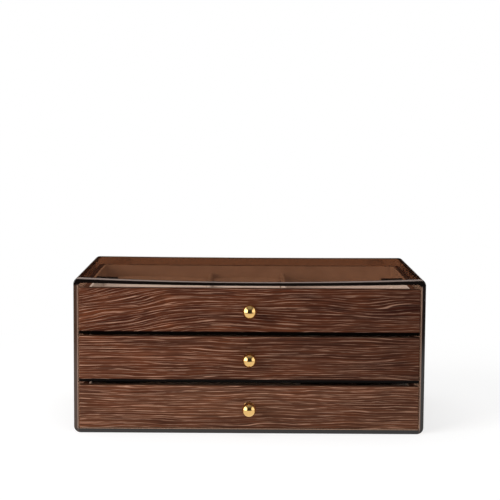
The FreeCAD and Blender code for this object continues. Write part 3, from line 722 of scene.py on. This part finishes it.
def settle(piece: bpy.types.Object, body: str, slot: str, *nodes: str) -> None:
    """Makes a piece ride on a body and stand for the named nodes, whose parts it hides."""
    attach(piece, body)
    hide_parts(*nodes)
    log.info("%s: %d faces", piece.name, len(piece.data.polygons))


def block(low: Vector, high: Vector) -> bmesh.types.BMesh:
    """A box between two corners, as a bmesh."""
    shape = bmesh.new()
    bmesh.ops.create_cube(shape, size=1.0)
    bmesh.ops.scale(shape, vec=high - low, verts=shape.verts)
    bmesh.ops.translate(shape, vec=(low + high) / 2, verts=shape.verts)
    return shape


def round_off(shape: bmesh.types.BMesh, edges: list, radius: float, segments: int = 4) -> None:
    """Rounds the given edges."""
    look = {"profile": 0.5, "affect": "EDGES", "material": -1, "clamp_overlap": True}
    bmesh.ops.bevel(shape, geom=edges, offset=radius, segments=segments, **look)


def edges_where(shape: bmesh.types.BMesh, wanted: Callable[[Vector], bool]) -> list[bmesh.types.BMEdge]:
    """The edges whose two ends both pass a test on their place."""
    return [edge for edge in shape.edges if all(wanted(vert.co) for vert in edge.verts)]


def is_corner(edge: bmesh.types.BMEdge) -> bool:
    """Whether an edge's two faces meet at more than 60 degrees."""
    return edge.is_manifold and edge.calc_face_angle() > math.radians(60)


def rise(edge: bmesh.types.BMEdge) -> float:
    """How much higher one end of an edge lies than the other."""
    return abs(edge.verts[0].co.z - edge.verts[1].co.z)


def cut(shape: bmesh.types.BMesh, place: Vector | tuple, normal: Vector | tuple) -> None:
    """Adds edges where a plane crosses a shape."""
    geometry = list(shape.verts) + list(shape.edges) + list(shape.faces)
    bmesh.ops.bisect_plane(shape, geom=geometry, plane_co=place, plane_no=normal, dist=1e-7)


def quarter_turn(steps: int, first: int = 0) -> list[tuple[float, float]]:
    """The cosine and sine at even steps over a right angle, from the given step on."""
    angles = (math.pi / 2 * step / steps for step in range(first, steps + 1))
    return [(math.cos(angle), math.sin(angle)) for angle in angles]


def turned(outline: list[tuple], centre: tuple, axis: tuple, steps: int) -> bmesh.types.BMesh:
    """Turns an outline into a closed body.

    Args:
        outline: The places along it, from pole to pole.
        centre: A place on the axis.
        axis: The axis's direction.
        steps: How many faces it has round the axis.

    Returns:
        The body as a bmesh.
    """
    shape = bmesh.new()
    verts = [shape.verts.new(place) for place in outline]
    edges = [shape.edges.new(pair) for pair in zip(verts, verts[1:])]
    bmesh.ops.spin(
        shape, geom=verts + edges, cent=centre, axis=axis, angle=FULL_TURN, steps=steps, use_merge=True
    )
    bmesh.ops.remove_doubles(shape, verts=shape.verts, dist=0.001 * MM)
    return shape


@dataclass
class Knob:
    """A turned knob: a collar with a bead, a waisted neck and a ball."""

    tier: str
    collar_thickness: float = 1.1 * MM
    collar_radius: float = 3.9 * MM
    neck_radius: float = 2.2 * MM
    neck_start: float = 2.5 * MM
    edge_round: float = 0.3 * MM
    around: int = 96

    def profile(self, seat: float, nose: float, radius: float) -> list[tuple[float, float]]:
        """The turned outline from the seat to the nose.

        Args:
            seat: Y of the drawer front's face.
            nose: Y of the ball's foremost point.
            radius: The ball's radius.

        Returns:
            Pairs of Y and distance from the axis.
        """
        centre = nose + radius
        neck_end = centre + math.sqrt(radius**2 - self.neck_radius**2)
        rounding = self.edge_round
        shoulder = self.collar_radius - rounding
        rim = seat - self.collar_thickness
        outline = [(seat, 0.0), (seat, shoulder)]
        outline += [(seat - rounding + rounding * c, shoulder + rounding * s) for c, s in quarter_turn(6, 1)]
        outline += [(rim + rounding - rounding * s, shoulder + rounding * c) for c, s in quarter_turn(6)]
        waist_from = self.collar_radius - 2 * rounding
        waist_length = seat - self.neck_start - rim
        for step in range(1, 9):
            share = step / 8
            ease = share * share * (3 - 2 * share)
            outline.append((rim + waist_length * share, waist_from + (self.neck_radius - waist_from) * ease))
        start = math.atan2(self.neck_radius, neck_end - centre)
        for step in range(33):
            angle = start + (math.pi - start) * step / 32
            outline.append((centre + radius * math.cos(angle), max(radius * math.sin(angle), 0.0)))
        return outline

    def build(self, finish: bpy.types.Material) -> bpy.types.Object:
        """Turns the knob, in its node's place."""
        node = f"{self.tier}_drawer_knob"
        low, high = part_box(node)
        face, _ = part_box(f"{self.tier}_drawer_front")
        radius, height = (high.z - low.z) / 2, (high.z + low.z) / 2
        outline = [(0.0, y, height + out) for y, out in self.profile(face.y, low.y, radius)]
        shape = turned(outline, (0.0, 0.0, height), (0.0, 1.0, 0.0), self.around)
        piece = to_object(shape, f"{self.tier}_knob_turned", finish)
        settle(piece, f"{self.tier}_drawer", "gold_metal", node)
        return piece


@dataclass
class VelvetTray:
    """The velvet-covered lining of a drawer: a thin open tray with soft rounded edges."""

    tier: str
    wall: float = 1.5 * MM
    corner_radius: float = 2.0 * MM
    floor_radius: float = 1.2 * MM
    lip_radius: float = 0.7 * MM

    def build(self, finish: bpy.types.Material) -> bpy.types.Object:
        """Models the tray, in its node's place."""
        node = f"{self.tier}_drawer_lining"
        low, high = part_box(node)
        shape = block(low, high)
        lid = next(face for face in shape.faces if face.normal.z > 0.9)
        bmesh.ops.inset_region(shape, faces=[lid], thickness=self.wall, use_even_offset=True)
        inner = next(
            face
            for face in shape.faces
            if face.normal.z > 0.9 and all(vert.co.x > low.x + self.wall / 2 for vert in face.verts)
        )
        sunk = bmesh.ops.extrude_face_region(shape, geom=[inner])
        moved = [item for item in sunk["geom"] if isinstance(item, bmesh.types.BMVert)]
        depth = high.z - low.z - self.wall
        bmesh.ops.translate(shape, vec=(0, 0, -depth), verts=moved)
        if inner.is_valid:
            bmesh.ops.delete(shape, geom=[inner], context="FACES_ONLY")

        inset = self.wall / 2

        def inside(place: Vector) -> bool:
            """Whether a point lies on the tray's inner faces."""
            return (
                low.x + inset < place.x < high.x - inset and low.y + inset < place.y < high.y - inset
            )

        def at_floor(place: Vector) -> bool:
            """Whether a point lies on the tray's inner floor."""
            return inside(place) and place.z < high.z - depth / 2

        uprights = [edge for edge in edges_where(shape, inside) if rise(edge) > depth / 2]
        round_off(shape, uprights, self.corner_radius, 6)
        round_off(shape, edges_where(shape, at_floor), self.floor_radius, 5)
        lips = edges_where(shape, lambda place: place.z > high.z - NEAR)
        round_off(shape, [edge for edge in lips if is_corner(edge)], self.lip_radius, 4)
        piece = to_object(shape, f"{self.tier}_velvet_tray", finish)
        settle(piece, f"{self.tier}_drawer", "velvet", node)
        return piece


@dataclass
class VelvetDivider:
    """A velvet-covered board with a softly rounded top, and halving slots where it crosses others."""

    tier: str
    node: str
    slots: list[float] = field(default_factory=list)
    slot_half: float = 1.7 * MM
    top_round: float = 1.3 * MM

    def build(self, finish: bpy.types.Material) -> bpy.types.Object:
        """Models the divider, in its node's place."""
        low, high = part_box(self.node)
        size = high - low
        deep = size.y > size.x
        shape = block(low, high)
        reach = 1 if deep else 0
        for middle in self.slots:
            for side in (-self.slot_half, self.slot_half):
                place, normal = Vector((0, 0, 0)), Vector((0, 0, 0))
                place[reach] = middle + side
                normal[reach] = 1.0
                cut(shape, place, normal)
        if self.slots:
            self.cut_slots(shape, low, high, reach)
        round_top = [
            edge
            for edge in edges_where(shape, lambda place: place.z > high.z - NEAR)
            if is_corner(edge) and abs(edge.verts[0].co[reach] - edge.verts[1].co[reach]) > 0.1 * MM
        ]
        round_off(shape, round_top, self.top_round, 5)
        piece = to_object(shape, f"{self.node}_velvet", finish)
        settle(piece, f"{self.tier}_drawer", "velvet", self.node)
        return piece

    def cut_slots(self, shape: bmesh.types.BMesh, low: Vector, high: Vector, reach: int) -> None:
        """Takes out the halving slots, from above in the long divider and from below in the others."""
        half_way = (low.z + high.z) / 2
        from_above = reach == 0
        cut(shape, (0, 0, half_way), (0, 0, 1))

        def in_slot(place: Vector) -> bool:
            """Whether a point lies in a slot's opening."""
            beyond = place.z > half_way if from_above else place.z < half_way
            return beyond and any(abs(place[reach] - middle) < self.slot_half for middle in self.slots)

        gone = [face for face in shape.faces if in_slot(face.calc_center_median())]
        bmesh.ops.delete(shape, geom=gone, context="FACES")
        open_edges = [edge for edge in shape.edges if edge.is_boundary]
        bmesh.ops.edgenet_prepare(shape, edges=open_edges)
        for middle in self.slots:
            loop = [
                edge
                for edge in shape.edges
                if edge.is_boundary
                and all(abs(vert.co[reach] - middle) < self.slot_half + 0.05 * MM for vert in edge.verts)
            ]
            sides = [edge for edge in loop if rise(edge) > 0.1 * MM]
            floor = [
                edge
                for edge in loop
                if edge not in sides and abs(edge.verts[0].co.z - half_way) < 0.05 * MM
            ]
            for start in (-self.slot_half, self.slot_half):
                wall = [edge for edge in sides if abs(edge.verts[0].co[reach] - middle - start) < 0.1 * MM]
                bmesh.ops.bridge_loops(shape, edges=wall)
            bmesh.ops.bridge_loops(shape, edges=floor)


@dataclass
class RingInsert:
    """A board with a row of velvet foam rolls, each crowned, drawn in at its ends and gathered there."""

    node: str
    rolls: int = 9
    board: float = 4.6 * MM
    sink: float = 0.8 * MM
    radius: float = 6.3 * MM
    end_radius: float = 5.3 * MM
    cheek_round: float = 1.6 * MM
    dimple: float = 0.9 * MM
    gathers: int = 14
    gather_depth: float = 0.22 * MM
    gather_length: float = 6 * MM
    lump: float = 0.06 * MM
    lump_length: float = 7 * MM
    corner_radius: float = 2.0 * MM
    rim_radius: float = 0.5 * MM
    around: int = 48
    along: int = 28

    def roll(self, half: float) -> bmesh.types.BMesh:
        """One roll along X about the origin.

        Args:
            half: Half its length.

        Returns:
            The roll as a bmesh.
        """
        shoulder = half - self.cheek_round
        outline = [(-half + self.dimple, 0.0), (-half + 0.35 * self.dimple, 0.9 * MM), (-half, 2.2 * MM)]
        cheek = self.end_radius - self.cheek_round
        for cosine, sine in quarter_turn(5, 1):
            outline.append((-shoulder - self.cheek_round * cosine, cheek + self.cheek_round * sine))
        swell = self.radius - self.end_radius
        for step in range(1, self.along):
            share = 2 * step / self.along - 1
            outline.append((shoulder * share, self.end_radius + swell * (1 - share * share)))
        outline += [(-x, out) for x, out in reversed(outline[:8])]
        places = [(x, 0.0, out) for x, out in outline]
        return turned(places, (0.0, 0.0, 0.0), (1.0, 0.0, 0.0), self.around)

    def gather(self, shape: bmesh.types.BMesh, half: float, shuffle: random.Random) -> None:
        """Draws the velvet into soft pleats towards a roll's ends, and makes its length a little uneven."""
        phase, sway = shuffle.uniform(0, FULL_TURN), shuffle.uniform(0.5, 1.0)
        for vert in shape.verts:
            out = Vector((0, vert.co.y, vert.co.z))
            if out.length < 0.2 * MM:
                continue
            angle = math.atan2(vert.co.z, vert.co.y)
            near_end = max(0.0, 1 - (half - abs(vert.co.x)) / self.gather_length)
            pleat = self.gather_depth * near_end**2 * math.cos(self.gathers * angle + phase)
            lump = self.lump * sway * math.sin(vert.co.x / self.lump_length + phase)
            lump *= math.sin(2 * angle + phase)
            vert.co += out.normalized() * (pleat + lump - self.gather_depth * near_end**2)

    def build(self, finish: bpy.types.Material) -> bpy.types.Object:
        low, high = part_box(self.node)
        half = (high.x - low.x) / 2
        pitch = (high.y - low.y) / self.rolls
        seat = low.z + self.board + self.radius - self.sink
        shape = block(low, Vector((high.x, high.y, low.z + self.board)))
        round_off(shape, [edge for edge in shape.edges if rise(edge) > MM], self.corner_radius, 5)
        rims = edges_where(shape, lambda place: place.z > low.z + self.board - NEAR)
        round_off(shape, [edge for edge in rims if is_corner(edge)], self.rim_radius, 3)
        shuffle = random.Random(self.node)
        for index in range(self.rolls):
            one = self.roll(half)
            self.gather(one, half, shuffle)
            spin = Matrix.Rotation(shuffle.uniform(0, FULL_TURN), 4, "X")
            place = Vector(((low.x + high.x) / 2, low.y + pitch * (index + 0.5), seat))
            one.transform(Matrix.Translation(place) @ spin)
            carrier = bpy.data.meshes.new("roll")
            one.to_mesh(carrier)
            one.free()
            shape.from_mesh(carrier)
            bpy.data.meshes.remove(carrier)
        piece = to_object(shape, f"{self.node}_rolls", finish)
        settle(piece, "top_drawer", "velvet", self.node)
        return piece


@dataclass
class Drawer:
    """One drawer: its wooden boards, velvet and knob."""

    tier: str
    dividers: list[VelvetDivider] = field(default_factory=list)
    inserts: list[RingInsert] = field(default_factory=list)

    def build(self, nodes: dict[str, bpy.types.Object], finishes: Finishes) -> None:
        """Dresses the boards and models the soft pieces and the knob.

        Args:
            nodes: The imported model's pieces by name.
            finishes: The materials.
        """
        name = f"{self.tier}_drawer"
        dress(nodes[f"{name}_front"], finishes.fronts[self.tier])
        dress(nodes[f"{name}_knob_screw"], finishes.screw)
        for piece, grain in (
            ("base", Grain.ACROSS),
            ("rear", Grain.ACROSS),
            ("side_left", Grain.DEEP),
            ("side_right", Grain.DEEP),
        ):
            dress(nodes[f"{name}_{piece}"], finishes.boards[grain])
        for side in ("left", "right"):
            dress(nodes[f"{name}_stop_tab_{side}"], finishes.plastic[Edges.TAB])
        Knob(self.tier).build(finishes.gold)
        VelvetTray(self.tier).build(finishes.velvet)
        for divider in self.dividers:
            divider.build(finishes.velvet)
        for insert in self.inserts:
            insert.build(finishes.velvet)
        log.info("%s is dressed", name)


@dataclass
class Case:
    """The case: its sleeve, back panel, shelves and drawer stops."""

    sheets: tuple[tuple[str, Edges], ...] = (
        ("case_sleeve", Edges.CASE),
        ("back_panel", Edges.HIDDEN),
        ("lower_shelf", Edges.SHELF),
        ("upper_shelf", Edges.SHELF),
    )
    tiers: tuple[str, ...] = ("top", "middle", "bottom")

    def build(self, nodes: dict[str, bpy.types.Object], finishes: Finishes) -> None:
        """Dresses every piece of the case.

        Args:
            nodes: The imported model's pieces by name.
            finishes: The materials.
        """
        for name, edges in self.sheets:
            dress(nodes[name], finishes.plastic[edges])
        for tier in self.tiers:
            for side in ("left", "right"):
                dress(nodes[f"{tier}_stop_lug_{side}"], finishes.stops)
        log.info("the case is dressed")


@dataclass(frozen=True)
class Softbox:
    """A rectangular lamp that faces the object."""

    name: str
    place: tuple[float, float, float]
    size: tuple[float, float]
    power: float
    mirrored: bool = False
    aim: tuple[float, float, float] = (0.0, 0.0, 0.05)

    def build(self) -> None:
        """Hangs the lamp, which polished pieces mirror only where it says so."""
        light = bpy.data.lights.new(self.name, "AREA")
        light.shape = "RECTANGLE"
        light.size, light.size_y = self.size
        light.energy = self.power
        lamp = bpy.data.objects.new(self.name, light)
        lamp.location = self.place
        lamp.rotation_mode = "QUATERNION"
        lamp.rotation_quaternion = (Vector(self.aim) - Vector(self.place)).to_track_quat("-Z", "Y")
        lamp.visible_glossy = self.mirrored
        bpy.context.scene.collection.objects.link(lamp)


@dataclass
class Studio:
    """A white floor, a white surround, soft lamps and the photograph's camera."""

    focal_pixels: float = 1417.0
    image_pixels: float = 500.0
    sensor_mm: float = 36.0
    eye: tuple[float, float, float] = (-3.74 * MM, -1023.4 * MM, 224.0 * MM)
    yaw: float = math.radians(0.223)
    pitch: float = math.radians(5.815)
    roll: float = math.radians(0.390)
    floor_half: float = 6.0
    floor_greys: tuple[Colour, Colour] = ((0.80, 0.80, 0.80, 1.0), (0.82, 0.82, 0.82, 1.0))
    floor_shown: Colour = (0.38, 0.38, 0.38, 1.0)
    floor_lift: float = 0.7
    floor_fade_mm: tuple[float, float] = (170.0, 420.0)
    floor_end_mm: tuple[float, float] = (260.0, 520.0)
    ambient: float = 0.24
    mirrored_front: float = 0.04
    mirrored_left: float = 4.2
    mirrored_right: float = 1.6
    mirrored_above: float = 0.3
    left_window: tuple[float, float] = (0.5, 0.74)
    right_window: tuple[float, float] = (0.58, 0.8)
    window_tilt: float = 0.15
    window_tops: tuple[float, float] = (0.85, 0.45)
    overhead: tuple[float, float] = (0.6, 0.98)
    lamps: tuple[Softbox, ...] = (
        Softbox("key_softbox", (-1.2, -0.95, 0.6), (1.0, 1.0), 19.0),
        Softbox("fill_softbox", (0.55, -1.8, 1.1), (1.2, 1.0), 6.0),
        Softbox("top_softbox", (-0.1, 0.0, 1.5), (1.4, 1.2), 10.0),
    )

    def build(self) -> None:
        """Sets up the floor, the world, the lamps and the camera."""
        self.floor()
        self.world()
        for lamp in self.lamps:
            lamp.build()
        self.camera()
        bpy.context.scene.view_settings.view_transform = "Standard"

    def floor(self) -> None:
        """Lays a pale floor that looks white, keeps the object's shadow and fades into the surround."""
        shape = bmesh.new()
        bmesh.ops.create_grid(shape, x_segments=1, y_segments=1, size=self.floor_half)
        sheet = NodeSheet.material("studio_floor")
        place = sheet.place_mm()
        grey = sheet.noise(place, (900, 900, 900), 1.0)
        pale = sheet.blend(grey, *self.floor_greys)
        lit = sheet.add("ShaderNodeBsdfDiffuse", {"Color": pale})
        shaded = sheet.add("ShaderNodeBsdfDiffuse", {"Color": self.floor_shown})
        lift = sheet.add("ShaderNodeEmission", {"Color": WHITE, "Strength": self.floor_lift})
        near = sheet.add("ShaderNodeAddShader", {0: shaded.outputs[0], 1: lift.outputs[0]})
        white = sheet.add("ShaderNodeEmission", {"Color": WHITE, "Strength": 1.0})
        away = sheet.add("ShaderNodeVectorMath", {0: place}, operation="LENGTH").outputs["Value"]
        shown = sheet.mix(sheet.step(away, *self.floor_fade_mm), near, white)
        forward = sheet.times(sheet.split(place)["Y"], -1.0)
        end = sheet.maths("SUBTRACT", 1.0, sheet.step(forward, *self.floor_end_mm, 1 - self.mirrored_front))
        mirrored = sheet.add("ShaderNodeEmission", {"Color": WHITE, "Strength": end})
        seen = sheet.is_any_ray("Is Camera Ray", "Is Transmission Ray")
        glossy = sheet.is_any_ray("Is Glossy Ray")
        both = sheet.mix(seen, sheet.mix(glossy, lit, mirrored), shown)
        to_object(shape, "studio_floor", sheet.finish(both.outputs[0]))

    def world(self) -> None:
        """Surrounds the object with white, dim light and, in polished pieces, a dark side at the front."""
        sheet = NodeSheet.world("studio")
        way = sheet.split(sheet.add("ShaderNodeTexCoord").outputs["Generated"])
        raised = sheet.times(sheet.maths("MAXIMUM", way["Z"], 0.0), self.window_tilt)
        to_left = sheet.maths("SUBTRACT", raised, way["X"])
        to_right = sheet.plus(raised, way["X"])
        left = sheet.step(to_left, *self.left_window, self.mirrored_left)
        right = sheet.step(to_right, *self.right_window, self.mirrored_right)
        above = sheet.step(way["Z"], *self.overhead, self.mirrored_above)
        low = sheet.step(way["Z"], *self.window_tops)
        windows = sheet.times(sheet.maths("MAXIMUM", left, right), low)
        room = sheet.maths("MAXIMUM", windows, above)
        ambient = sheet.add("ShaderNodeBackground", {"Color": WHITE, "Strength": self.ambient})
        strength = sheet.plus(room, self.mirrored_front)
        mirrored = sheet.add("ShaderNodeBackground", {"Color": WHITE, "Strength": strength})
        backdrop = sheet.add("ShaderNodeBackground", {"Color": WHITE, "Strength": 1.0})
        shown = sheet.is_any_ray("Is Camera Ray", "Is Transmission Ray")
        glossy = sheet.is_any_ray("Is Glossy Ray")
        both = sheet.mix(shown, sheet.mix(glossy, ambient, mirrored), backdrop)
        bpy.context.scene.world = sheet.finish(both.outputs[0])

    def camera(self) -> None:
        """Places the camera where the photograph was taken."""
        lens = bpy.data.cameras.new("camera")
        lens.sensor_width = self.sensor_mm
        lens.lens = self.focal_pixels / self.image_pixels * self.sensor_mm
        lens.clip_start, lens.clip_end = 0.05, 30.0
        camera = bpy.data.objects.new("camera", lens)
        level = math.cos(self.pitch)
        ahead = Vector((math.sin(self.yaw) * level, math.cos(self.yaw) * level, -math.sin(self.pitch)))
        camera.location = self.eye
        camera.rotation_mode = "QUATERNION"
        camera.rotation_quaternion = ahead.to_track_quat("-Z", "Y") @ Quaternion((0, 0, 1), self.roll)
        bpy.context.scene.collection.objects.link(camera)
        bpy.context.scene.camera = camera


def drawers() -> list[Drawer]:
    """The three drawers with what each holds."""
    top, middle, bottom = "top", "middle", "bottom"
    long_low, long_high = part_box("middle_drawer_long_divider")
    crossing = (long_low.y + long_high.y) / 2
    cross_names = [f"middle_drawer_divider_{place}" for place in ("left", "centre", "right")]
    cross_places = [sum(corner.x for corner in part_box(name)) / 2 for name in cross_names]
    middle_dividers = [VelvetDivider(middle, name, [crossing]) for name in cross_names]
    middle_dividers.append(VelvetDivider(middle, "middle_drawer_long_divider", cross_places))
    return [
        Drawer(
            top,
            [VelvetDivider(top, f"top_drawer_divider_{side}") for side in ("left", "right")],
            [RingInsert(f"top_drawer_ring_insert_{place}") for place in ("left", "middle")],
        ),
        Drawer(middle, middle_dividers),
        Drawer(bottom, [VelvetDivider(bottom, "bottom_drawer_divider")]),
    ]


def main() -> None:
    """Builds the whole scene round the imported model."""
    logging.basicConfig(level=logging.INFO, format="%(name)s: %(message)s")
    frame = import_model()
    finishes = Finishes.make()
    Case().build(frame["nodes"], finishes)
    for drawer in drawers():
        drawer.build(frame["nodes"], finishes)
    Studio().build()


if __name__ == "__main__":
    main()
